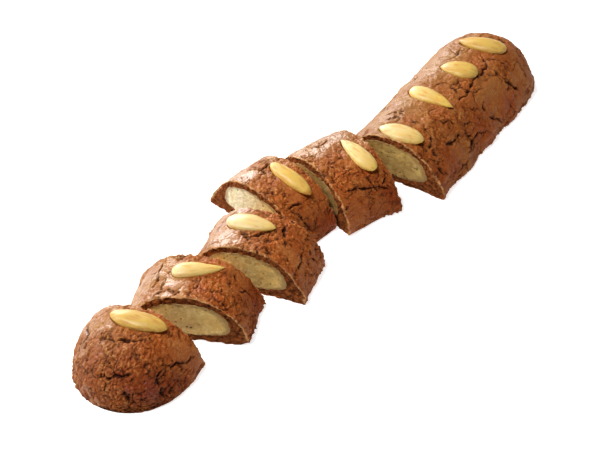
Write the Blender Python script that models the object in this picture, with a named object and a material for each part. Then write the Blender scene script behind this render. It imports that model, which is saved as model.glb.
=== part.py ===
"""Filled speculaas bar: spiced dough baked round a rope of almond paste, with blanched almonds
pressed in along the top. The bar is modelled whole, from x = 0 to x = BAR_LENGTH, then cut with
a knife, and its pieces are laid out in a loose row. Units are metres, +Z is up."""

import math

import bmesh
import bpy
from mathutils import Matrix, Vector, noise

# The whole bar. Its section is a low dome on a flat sole.
BAR_LENGTH = 0.280
BAR_WIDTH = 0.058
BAR_HEIGHT = 0.0252
DOME_POWER_ACROSS = 2.35
DOME_POWER_UP = 1.6
NOSE_LENGTH = 0.037  # how far the rounding of the first end reaches
TAIL_LENGTH = 0.0275
END_POWER = 2.2
END_DROP_POWER = 0.8  # the height falls off later than the width towards an end
FOOT_TUCK = 0.0008  # the dough draws in a little where it meets the tray

# The rope of almond paste inside.
PASTE_WIDTH = 0.039
PASTE_BOTTOM = 0.0036
PASTE_TOP = 0.0214
PASTE_SIDE = 0.0090  # height at which the paste is widest
PASTE_POWER = 2.3
NOSE_CRUST = 0.013  # dough beyond the paste at each end
TAIL_CRUST = 0.011

GAP = 0.0003  # clear space between two solids that touch

# Relief of the baked dough.
SWELL_SIZE = 0.017
SWELL_HEIGHT = 0.0008
SWELL_SHIFT = Vector((3.1, 0.0, 7.7))
CRAG_SIZE = 0.0062
CRAG_HEIGHT = 0.00045
CRAG_SHIFT = Vector((0.0, 5.3, 1.9))
CRACK_RADIUS = 0.0009
CRACK_TAPER = 0.45  # share of that radius left at a crack's two ends
CRACK_STEP = 0.0034
CRACK_WANDER = 0.0007
CRACK_SEED = Vector((31.7, 12.9, 4.3))
CRACK_SINK = 0.0002

# Mesh density.
DOME_STEPS = 30
SOLE_STEPS = 3
RING_SPACING = 0.0050
END_RINGS = 8
PASTE_STEPS = 24
PASTE_RING_SPACING = 0.030
ALMOND_STEPS = 12
ALMOND_RINGS = 10
ANGLE_STEP = 0.01  # half the arc, in radians, over which a tangent is taken
TINY = 1e-6
SHARP_ANGLE = 40  # degrees between faces that stay crisp when the rest is shaded smooth

# Each piece as cut from the bar, where its middle lies and how far it is turned, in degrees.
PIECES = (
    # name, start, end, middle x, middle y, turn
    ("end", 0.0000, 0.0400, -0.1393, 0.0118, 10.8),
    ("slice_1", 0.0400, 0.0695, -0.0920, 0.0090, 22.6),
    ("slice_2", 0.0695, 0.0990, -0.0506, 0.0016, 12.1),
    ("slice_3", 0.0990, 0.1265, -0.0140, 0.0161, -10.1),
    ("slice_4", 0.1265, 0.1595, 0.0173, -0.0006, -19.1),
    ("uncut", 0.1595, 0.2800, 0.0999, -0.0180, 0.0),
)

ALMOND_THICKNESS = 0.0056
ALMOND_SINK = 0.0004  # how far its middle lies under the dough's skin
ALMOND_POWER = 2.3

# Each almond along and across the bar, its length, width and turn, 1 if its tip faces -Y, and how
# sharp its blunt end and its tip are.
ALMONDS = (
    # along, across, length, width, turn, point, blunt, tip
    (0.0322, -0.0014, 0.0268, 0.0104, 2.0, 1, 0.56, 0.60),
    (0.0598, -0.0018, 0.0240, 0.0092, 20.0, 1, 0.43, 0.95),
    (0.0877, 0.0042, 0.0243, 0.0110, 0.0, 1, 0.50, 0.74),
    (0.1173, -0.0068, 0.0262, 0.0089, 0.0, 1, 0.55, 0.62),
    (0.1502, -0.0064, 0.0241, 0.0096, 4.0, -1, 0.46, 0.76),
    (0.1665, -0.0010, 0.0235, 0.0120, 6.0, -1, 0.60, 0.67),
    (0.1995, 0.0002, 0.0253, 0.0103, -4.0, 1, 0.42, 0.88),
    (0.2280, 0.0000, 0.0197, 0.0128, 16.0, -1, 0.48, 0.67),
    (0.2537, 0.0000, 0.0256, 0.0113, 13.0, -1, 0.50, 0.73),
)

# Where the dough bulged out at its foot, as (x along the bar, lean from the crown towards -Y,
# spread, height).
BULGES = (
    (0.0680, 84, 0.0060, 0.0010),
    (0.1000, -84, 0.0045, 0.0016),
    (0.1570, 84, 0.0070, 0.0017),
    (0.1860, 84, 0.0080, 0.0014),
    (0.2120, 86, 0.0065, 0.0012),
    (0.2370, 84, 0.0060, 0.0009),
)

# The deeper cracks of the crust, each a path of (x along the bar, lean from the crown towards -Y).
CRACKS = (
    # the first end
    ((0.0184, -23), (0.0196, -6), (0.0216, 7), (0.0256, 20)),
    ((0.0042, -18), (0.0049, 3), (0.0077, 15), (0.0106, 26)),
    ((0.0035, 20), (0.0026, 38), (0.0027, 60)),
    ((0.0361, 62), (0.0302, 58), (0.0234, 52), (0.0182, 46)),
    ((0.0187, 41), (0.0136, 49), (0.0117, 63), (0.0123, 76)),
    ((0.0160, -50), (0.0240, -44), (0.0320, -52)),
    # slice_1
    ((0.0415, -27), (0.0445, -21), (0.0540, -20)),
    ((0.0662, -30), (0.0578, -31), (0.0481, -32)),
    ((0.0437, 20), (0.0443, 32), (0.0420, 43)),
    ((0.0560, 40), (0.0610, 52), (0.0600, 66)),
    # slice_2
    ((0.0944, 14), (0.0894, 21), (0.0847, 24), (0.0803, 29)),
    ((0.0764, -8), (0.0793, 0), (0.0829, 4), (0.0891, 18)),
    ((0.0913, 48), (0.0886, 55), (0.0899, 68)),
    ((0.0859, 41), (0.0816, 49), (0.0738, 52)),
    # slice_3
    ((0.1218, -16), (0.1160, -12), (0.1095, -11)),
    ((0.1064, 41), (0.1085, 54), (0.1104, 67)),
    ((0.1019, 34), (0.1089, 34), (0.1126, 37)),
    # slice_4
    ((0.1317, 37), (0.1385, 41), (0.1450, 46), (0.1527, 52), (0.1562, 60)),
    ((0.1566, 36), (0.1557, 44), (0.1529, 51)),
    ((0.1354, -22), (0.1413, -20), (0.1474, -20)),
    ((0.1340, -50), (0.1430, -44), (0.1520, -49)),
    # the uncut piece
    ((0.2449, 7), (0.2407, 16), (0.2346, 18), (0.2257, 16), (0.2182, 21), (0.2087, 19), (0.2008, 22)),
    ((0.1781, -28), (0.1798, -17), (0.1829, -7)),
    ((0.2166, 40), (0.2167, 56), (0.2248, 74)),
    ((0.2080, 62), (0.1986, 59), (0.1925, 64), (0.1876, 66)),
    ((0.1780, 18), (0.1724, 28), (0.1667, 30)),
    ((0.1610, 55), (0.1645, 53), (0.1679, 66)),
    ((0.2415, 40), (0.2443, 52), (0.2481, 65)),
    ((0.2576, 34), (0.2584, 46), (0.2578, 59)),
    ((0.1771, 40), (0.1856, 44), (0.1923, 44)),
    ((0.1760, -52), (0.1850, -45), (0.1940, -50), (0.2020, -44)),
    ((0.2250, -40), (0.2290, -52), (0.2260, -66)),
    ((0.2430, -50), (0.2510, -42), (0.2590, -46)),
)

CRUST_COLOUR = (0.19, 0.065, 0.024)
PASTE_COLOUR = (0.47, 0.36, 0.15)
ALMOND_COLOUR = (0.80, 0.56, 0.22)


def clear_scene():
    for obj in list(bpy.data.objects):
        bpy.data.objects.remove(obj, do_unlink=True)


def new_collection(name):
    collection = bpy.data.collections.new(name)
    bpy.context.scene.collection.children.link(collection)
    return collection


def make_material(name, colour, roughness):
    material = bpy.data.materials.new(name)
    material.use_nodes = True
    shader = material.node_tree.nodes["Principled BSDF"]
    shader.inputs["Base Color"].default_value = (*colour, 1.0)
    shader.inputs["Roughness"].default_value = roughness
    shader.inputs["Metallic"].default_value = 0.0
    return material


def power(value, exponent):
    """A power that keeps the sign, as superellipses need."""
    return math.copysign(abs(value) ** exponent, value)


def dome_point(angle):
    """(across, up) on the bar's section, from the +Y foot at angle 0 over the crown to the -Y foot."""
    across = power(math.cos(angle), 2 / DOME_POWER_ACROSS) * BAR_WIDTH / 2
    up = power(math.sin(angle), 2 / DOME_POWER_UP) * BAR_HEIGHT
    return across, max(up, 0.0)


def bar_section():
    """The closed section: over the dome, then back across the sole."""
    foot = BAR_WIDTH / 2 - FOOT_TUCK
    section = [dome_point(math.pi * i / DOME_STEPS) for i in range(1, DOME_STEPS)]
    sole = [(-foot + 2 * foot * i / SOLE_STEPS, 0.0) for i in range(SOLE_STEPS)]
    return [(foot, 0.0)] + section + sole


def end_shares(rings):
    """(reach, width) pairs of a rounded end, from its tip to where the bar is full."""
    shares = []
    for i in range(1, rings + 1):
        angle = math.pi / 2 * i / rings
        shares.append((1 - math.cos(angle) ** (2 / END_POWER), math.sin(angle) ** (2 / END_POWER)))
    return shares


def stations(length, nose, tail, spacing, rings):
    """(x, width) of each ring along a body with rounded ends, without its two tips."""
    shares = end_shares(rings)
    front = [(nose * reach, width) for reach, width in shares]
    back = [(length - tail * reach, width) for reach, width in reversed(shares)]
    steps = max(1, round((length - nose - tail) / spacing))
    middle = [(nose + (length - nose - tail) * i / steps, 1.0) for i in range(1, steps)]
    return front + middle + back


def lofted_body(name, section, rings, length, start=0.0, tip_height=0.0, drop=1.0):
    """A UV sphere whose rings become the body's rings and whose segments become its section."""
    bm = bmesh.new()
    count = len(rings) + 1
    bmesh.ops.create_uvsphere(bm, u_segments=len(section), v_segments=count, radius=1.0)
    for vert in bm.verts:
        ring = round(count * (1 - math.acos(max(-1.0, min(1.0, vert.co.z))) / math.pi))
        if ring in (0, count):
            vert.co = (start + (0.0 if ring == 0 else length), 0.0, tip_height)
            continue
        segment = round(len(section) * math.atan2(vert.co.y, vert.co.x) / math.tau) % len(section)
        x, width = rings[ring - 1]
        across, up = section[segment]
        up = tip_height + (up - tip_height) * width**drop
        vert.co = (start + x, across * width, up)
    mesh = bpy.data.meshes.new(name)
    bm.to_mesh(mesh)
    bm.free()
    return mesh


def relief(point):
    """How far the baked skin stands out at a point of the smooth bar."""
    swell = noise.noise(point / SWELL_SIZE + SWELL_SHIFT)
    crag = noise.noise(point / CRAG_SIZE + CRAG_SHIFT)
    height = SWELL_HEIGHT * swell + CRAG_HEIGHT * crag
    for x, lean, spread, rise in BULGES:
        distance = (point - skin_point(x, lean)[0]).length
        height += rise * math.exp(-((distance / spread) ** 2))
    return height


def bake(mesh):
    """Moves every vertex of the dome along its normal by the relief. The sole stays flat."""
    bm = bmesh.new()
    bm.from_mesh(mesh)
    bm.normal_update()
    moves = []
    for vert in bm.verts:
        normal = vert.normal.copy()
        on_sole = vert.co.z < TINY
        if on_sole:
            normal.z = 0.0
        moves.append(normal * relief(vert.co))
    for vert, move in zip(bm.verts, moves):
        vert.co += move
        vert.co.z = max(vert.co.z, 0.0)
    bm.to_mesh(mesh)
    bm.free()


def bar_mesh():
    rings = stations(BAR_LENGTH, NOSE_LENGTH, TAIL_LENGTH, RING_SPACING, END_RINGS)
    mesh = lofted_body("bar", bar_section(), rings, BAR_LENGTH, drop=END_DROP_POWER)
    bake(mesh)
    return mesh


def paste_section(grow):
    """The paste's section: a dome over its widest height and a shallow belly under it."""
    section = []
    for i in range(PASTE_STEPS):
        angle = math.tau * i / PASTE_STEPS
        across = power(math.cos(angle), 2 / PASTE_POWER) * (PASTE_WIDTH / 2 + grow)
        reach = PASTE_TOP - PASTE_SIDE if math.sin(angle) > 0 else PASTE_SIDE - PASTE_BOTTOM
        section.append((across, PASTE_SIDE + power(math.sin(angle), 2 / PASTE_POWER) * (reach + grow)))
    return section


def paste_mesh(name, grow=0.0):
    length = BAR_LENGTH - NOSE_CRUST - TAIL_CRUST + 2 * grow
    ends = PASTE_WIDTH / 2
    rings = stations(length, ends, ends, PASTE_RING_SPACING, END_RINGS // 2)
    start = NOSE_CRUST - grow
    return lofted_body(name, paste_section(grow), rings, length, start, tip_height=PASTE_SIDE)


def cut_between(mesh, start, end):
    """Keeps the stretch of a closed body between two knife cuts and closes the cut faces."""
    bm = bmesh.new()
    bm.from_mesh(mesh)
    for x, side in ((start, -1.0), (end, 1.0)):
        geometry = bm.verts[:] + bm.edges[:] + bm.faces[:]
        bmesh.ops.bisect_plane(
            bm, geom=geometry, plane_co=(x, 0, 0), plane_no=(side, 0, 0), clear_outer=True
        )
        rim = [edge for edge in bm.edges if edge.is_boundary]
        if rim:
            bmesh.ops.contextual_create(bm, geom=rim)
    bmesh.ops.recalc_face_normals(bm, faces=bm.faces)
    piece = bpy.data.meshes.new(mesh.name + "_cut")
    bm.to_mesh(piece)
    bm.free()
    return piece


def almond_half_width(share, blunt, tip):
    """An almond's share of its half width, from -1 at its blunt end to 1 at its tip."""
    widest = (blunt - tip) / (blunt + tip)
    fullest = (1 + widest) ** blunt * (1 - widest) ** tip
    return (1 + share) ** blunt * (1 - share) ** tip / fullest


def almond_mesh(name, almond, grow=0.0):
    """A blanched almond lying along X, its tip at +X."""
    length, width, _, _, blunt, tip = almond[2:]
    bm = bmesh.new()
    bmesh.ops.create_uvsphere(
        bm, u_segments=ALMOND_STEPS, v_segments=ALMOND_RINGS, radius=1.0
    )
    for vert in bm.verts:
        share = max(-1.0, min(1.0, vert.co.z))
        around = math.atan2(vert.co.y, vert.co.x)
        half = almond_half_width(share, blunt, tip) if abs(share) < 1 - TINY else 0.0
        across = power(math.cos(around), 2 / ALMOND_POWER)
        up = power(math.sin(around), 2 / ALMOND_POWER)
        vert.co = (
            share * (length / 2 + grow),
            across * half * (width / 2 + grow),
            up * half * (ALMOND_THICKNESS / 2 + grow),
        )
    mesh = bpy.data.meshes.new(name)
    bm.to_mesh(mesh)
    bm.free()
    return mesh


def skin_point(x, lean):
    """(point, outward normal) on the smooth bar, lean degrees from the crown towards -Y."""
    angle = math.radians(90 + lean)
    reach = min(x / NOSE_LENGTH, (BAR_LENGTH - x) / TAIL_LENGTH, 1.0)
    width = (1 - (1 - reach) ** END_POWER) ** (1 / END_POWER)

    def at(some_angle):
        across, up = dome_point(some_angle)
        return Vector((x, across * width, up * width**END_DROP_POWER))

    tangent = at(angle + ANGLE_STEP) - at(angle - ANGLE_STEP)
    return at(angle), tangent.cross(Vector((1.0, 0.0, 0.0))).normalized()


def almond_place(almond):
    """Where an almond lies on the bar: on the crown's skin, crosswise and tilted with the dome."""
    along, across, _, _, turn, point, _, _ = almond
    angle = math.acos(power(2 * across / BAR_WIDTH, DOME_POWER_ACROSS / 2))
    spot, normal = skin_point(along, math.degrees(angle) - 90)
    tilt = math.atan2(-normal.y, normal.z)
    height = spot.z + relief(spot) - ALMOND_SINK
    crosswise = math.radians(-90 * point + turn)
    return (
        Matrix.Translation((along, across, height))
        @ Matrix.Rotation(tilt, 4, "X")
        @ Matrix.Rotation(crosswise, 4, "Z")
    )


def crack_mesh(number, path):
    """A groove cutter that follows a crack over the skin, tapering out at both ends."""
    spots = []
    for (x0, lean0), (x1, lean1) in zip(path, path[1:]):
        first, second = skin_point(x0, lean0)[0], skin_point(x1, lean1)[0]
        steps = max(1, round((second - first).length / CRACK_STEP))
        spots += [(x0 + (x1 - x0) * i / steps, lean0 + (lean1 - lean0) * i / steps) for i in range(steps)]
    spots.append(path[-1])
    curve = bpy.data.curves.new(f"crack_{number}", "CURVE")
    curve.dimensions = "3D"
    curve.bevel_depth = CRACK_RADIUS
    curve.bevel_resolution = 0
    curve.use_fill_caps = True
    spline = curve.splines.new("POLY")
    spline.points.add(len(spots) - 1)
    for i, (x, lean) in enumerate(spots):
        spot, normal = skin_point(x, lean)
        drift = CRACK_WANDER * noise.noise_vector(CRACK_SEED * Vector((number, i, 1)))
        spot += normal * (relief(spot) - CRACK_SINK) + (drift - normal * drift.dot(normal))
        spline.points[i].co = (*spot, 1.0)
        spline.points[i].radius = CRACK_TAPER if i in (0, len(spots) - 1) else 1.0
    obj = bpy.data.objects.new(curve.name, curve)
    bpy.context.scene.collection.objects.link(obj)
    bpy.context.view_layer.update()
    mesh = bpy.data.meshes.new_from_object(obj.evaluated_get(bpy.context.evaluated_depsgraph_get()))
    bpy.data.objects.remove(obj, do_unlink=True)
    bm = bmesh.new()
    bm.from_mesh(mesh)
    bmesh.ops.remove_doubles(bm, verts=bm.verts, dist=TINY)
    bmesh.ops.recalc_face_normals(bm, faces=bm.faces)
    bm.to_mesh(mesh)
    bm.free()
    return mesh


def place(obj, local, piece):
    """Carries an object from the whole bar to where its piece lies."""
    _, start, end, middle_x, middle_y, turn = piece
    lay = Matrix.Translation((middle_x, middle_y, 0)) @ Matrix.Rotation(math.radians(turn), 4, "Z")
    obj.matrix_world = lay @ Matrix.Translation((-(start + end) / 2, 0, 0)) @ local


def add_object(name, mesh, collection, piece, local=Matrix.Identity(4), material=None):
    obj = bpy.data.objects.new(name, mesh)
    collection.objects.link(obj)
    place(obj, local, piece)
    if material:
        mesh.materials.append(material)
    return obj


def hide_cutter(obj):
    obj.hide_render = True
    obj.display_type = "WIRE"


def carve(obj, collection):
    """Cuts everything in a collection of cutters out of an object."""
    modifier = obj.modifiers.new("carve", "BOOLEAN")
    modifier.operation = "DIFFERENCE"
    modifier.operand_type = "COLLECTION"
    modifier.collection = collection
    modifier.solver = "EXACT"


def build():
    clear_scene()
    pieces = new_collection("filled_speculaas_bar")
    dough = make_material("baked_dough", CRUST_COLOUR, 0.55)
    paste = make_material("almond_paste", PASTE_COLOUR, 0.7)
    nut = make_material("blanched_almond", ALMOND_COLOUR, 0.4)
    bar = bar_mesh()
    rope = paste_mesh("rope")
    channel = paste_mesh("channel", GAP)
    for piece in PIECES:
        name, start, end = piece[:3]
        cutters = new_collection("cutters_" + name)
        add_object("filling_" + name, cut_between(rope, start, end), pieces, piece, material=paste)
        hide_cutter(add_object("channel_" + name, channel.copy(), cutters, piece))
        for number, almond in enumerate(ALMONDS, 1):
            if start < almond[0] < end:
                local = almond_place(almond)
                kernel = almond_mesh(f"almond_{number}", almond)
                add_object(f"almond_{number}", kernel, pieces, piece, local, nut)
                socket = almond_mesh(f"socket_{number}", almond, GAP)
                hide_cutter(add_object(f"socket_{number}", socket, cutters, piece, local))
        for number, path in enumerate(CRACKS, 1):
            if start < path[0][0] < end:
                groove = crack_mesh(number, path)
                hide_cutter(add_object(f"crack_{number}", groove, cutters, piece))
        crust = add_object("crust_" + name, cut_between(bar, start, end), pieces, piece, material=dough)
        carve(crust, cutters)
        cutters.hide_render = True
    for obj in pieces.objects:
        obj.data.shade_smooth()
        obj.data.set_sharp_from_angle(angle=math.radians(SHARP_ANGLE))


build()
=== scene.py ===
import itertools
import math

import bpy
import numpy as np
from mathutils import Matrix, Vector, noise


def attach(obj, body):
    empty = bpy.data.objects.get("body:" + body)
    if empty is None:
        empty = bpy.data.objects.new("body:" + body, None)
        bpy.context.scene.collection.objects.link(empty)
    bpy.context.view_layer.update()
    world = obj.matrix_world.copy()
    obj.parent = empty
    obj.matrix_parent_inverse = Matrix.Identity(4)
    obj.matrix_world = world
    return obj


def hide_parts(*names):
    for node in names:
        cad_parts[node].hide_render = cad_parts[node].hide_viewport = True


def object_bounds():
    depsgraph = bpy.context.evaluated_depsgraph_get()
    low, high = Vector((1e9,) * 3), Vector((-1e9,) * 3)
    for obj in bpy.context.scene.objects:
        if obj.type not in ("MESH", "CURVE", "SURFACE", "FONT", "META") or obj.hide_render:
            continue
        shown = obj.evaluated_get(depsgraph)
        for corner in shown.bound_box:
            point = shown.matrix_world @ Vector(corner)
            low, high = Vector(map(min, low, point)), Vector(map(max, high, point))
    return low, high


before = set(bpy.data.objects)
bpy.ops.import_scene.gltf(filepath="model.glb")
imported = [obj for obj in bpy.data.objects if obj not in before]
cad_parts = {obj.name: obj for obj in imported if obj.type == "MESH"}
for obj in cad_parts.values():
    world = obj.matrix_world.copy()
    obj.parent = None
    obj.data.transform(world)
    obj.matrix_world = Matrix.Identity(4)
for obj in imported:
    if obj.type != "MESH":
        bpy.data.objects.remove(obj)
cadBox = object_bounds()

pi, tau = math.pi, math.tau

# a filled speculaas bar, cut and laid out in a loose row; lengths are in metres, turns in degrees
bar = {
    "length": 0.280,
    "width": 0.058,
    "height": 0.0252,
    "acrossPower": 2.35,
    "upPower": 1.6,
    "noseLength": 0.037,  # how far the rounding of the first end reaches
    "tailLength": 0.0275,
    "endPower": 2.2,
    "dropPower": 0.8,  # the height falls off later than the width towards an end
    "footTuck": 0.0008,
    "tuckHeight": 0.0015,
}

pieces = [  # name, start, end, middle x, middle y, turn in degrees
    ("end", 0.0000, 0.0400, -0.1393, 0.0118, 10.8),
    ("slice_1", 0.0400, 0.0695, -0.0920, 0.0090, 22.6),
    ("slice_2", 0.0695, 0.0990, -0.0506, 0.0016, 12.1),
    ("slice_3", 0.0990, 0.1265, -0.0140, 0.0161, -10.1),
    ("slice_4", 0.1265, 0.1595, 0.0173, -0.0006, -19.1),
    ("uncut", 0.1595, 0.2800, 0.0999, -0.0180, 0.0),
]


def hashed(order, corner):  # a fixed number from 0 to 255 for each corner of a grid
    a, b, c = np.moveaxis(corner & 255, -1, 0)
    return order[(order[(order[a] + b) & 255] + c) & 255]


def softNoise(points, size, seed):  # smooth noise, about -1 to 1
    rng = np.random.default_rng(seed)
    order = rng.permutation(256)
    slopes = rng.normal(size=(256, 3))
    slopes /= np.linalg.norm(slopes, axis=1)[:, None]
    scaled = points / size + rng.uniform(0, 50, 3)
    base = np.floor(scaled).astype(int)
    part = scaled - base
    ease = part**3 * (part * (part * 6 - 15) + 10)
    total = np.zeros(points.shape[:-1])
    for corner in itertools.product((0, 1), repeat=3):
        weight = np.prod(np.where(np.array(corner) == 1, ease, 1 - ease), axis=-1)
        slope = slopes[hashed(order, base + np.array(corner))]
        total += weight * np.sum(slope * (part - corner), axis=-1)
    return total * 1.7


def creased(points, size, seed):  # rounded lumps with sharp creases between them
    return 2.4 * np.abs(softNoise(points, size, seed)) - 0.72


def layeredNoise(points, size, seed):
    total = sum(softNoise(points, size / 2**i, seed + i) / 2**i for i in range(3))
    return total / 1.4


def drift(points, size, amount, seed):  # moves points about, so that what is built on them wanders
    shift = np.stack([softNoise(points, size, seed + i) for i in range(3)], axis=-1)
    return points + amount * shift


def cells(points, size, seed):  # distance to the nearest cell's centre and border, and its number
    rng = np.random.default_rng(seed)
    order = rng.permutation(256)
    spots = rng.uniform(0.08, 0.92, (256, 3))
    scaled = points / size + rng.uniform(0, 50, 3)
    base = np.floor(scaled).astype(int)
    around = []
    for step in itertools.product((-1, 0, 1), repeat=3):
        key = hashed(order, base + step)
        around.append((base + step + spots[key] - scaled, key))
    best = np.full(points.shape[:-1], 9.0)
    near = np.zeros(points.shape)
    number = np.zeros(points.shape[:-1], int)
    for reach, key in around:
        far = np.sum(reach**2, axis=-1)
        closer = far < best
        best = np.where(closer, far, best)
        near = np.where(closer[..., None], reach, near)
        number = np.where(closer, key, number)
    border = np.full(points.shape[:-1], 9.0)
    for reach, _ in around:
        apart = reach - near
        gap = np.linalg.norm(apart, axis=-1)
        middle = np.sum((reach + near) / 2 * apart, axis=-1) / np.maximum(gap, 1e-6)
        border = np.where((gap > 1e-4) & (middle < border), middle, border)
    return np.sqrt(best) * size, border * size, number


def smoothStep(low, high, value):
    share = np.clip((value - low) / (high - low), 0.0, 1.0)
    return share * share * (3 - 2 * share)


def hill(distance, width):
    return np.exp(-((distance / width) ** 2))


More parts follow.
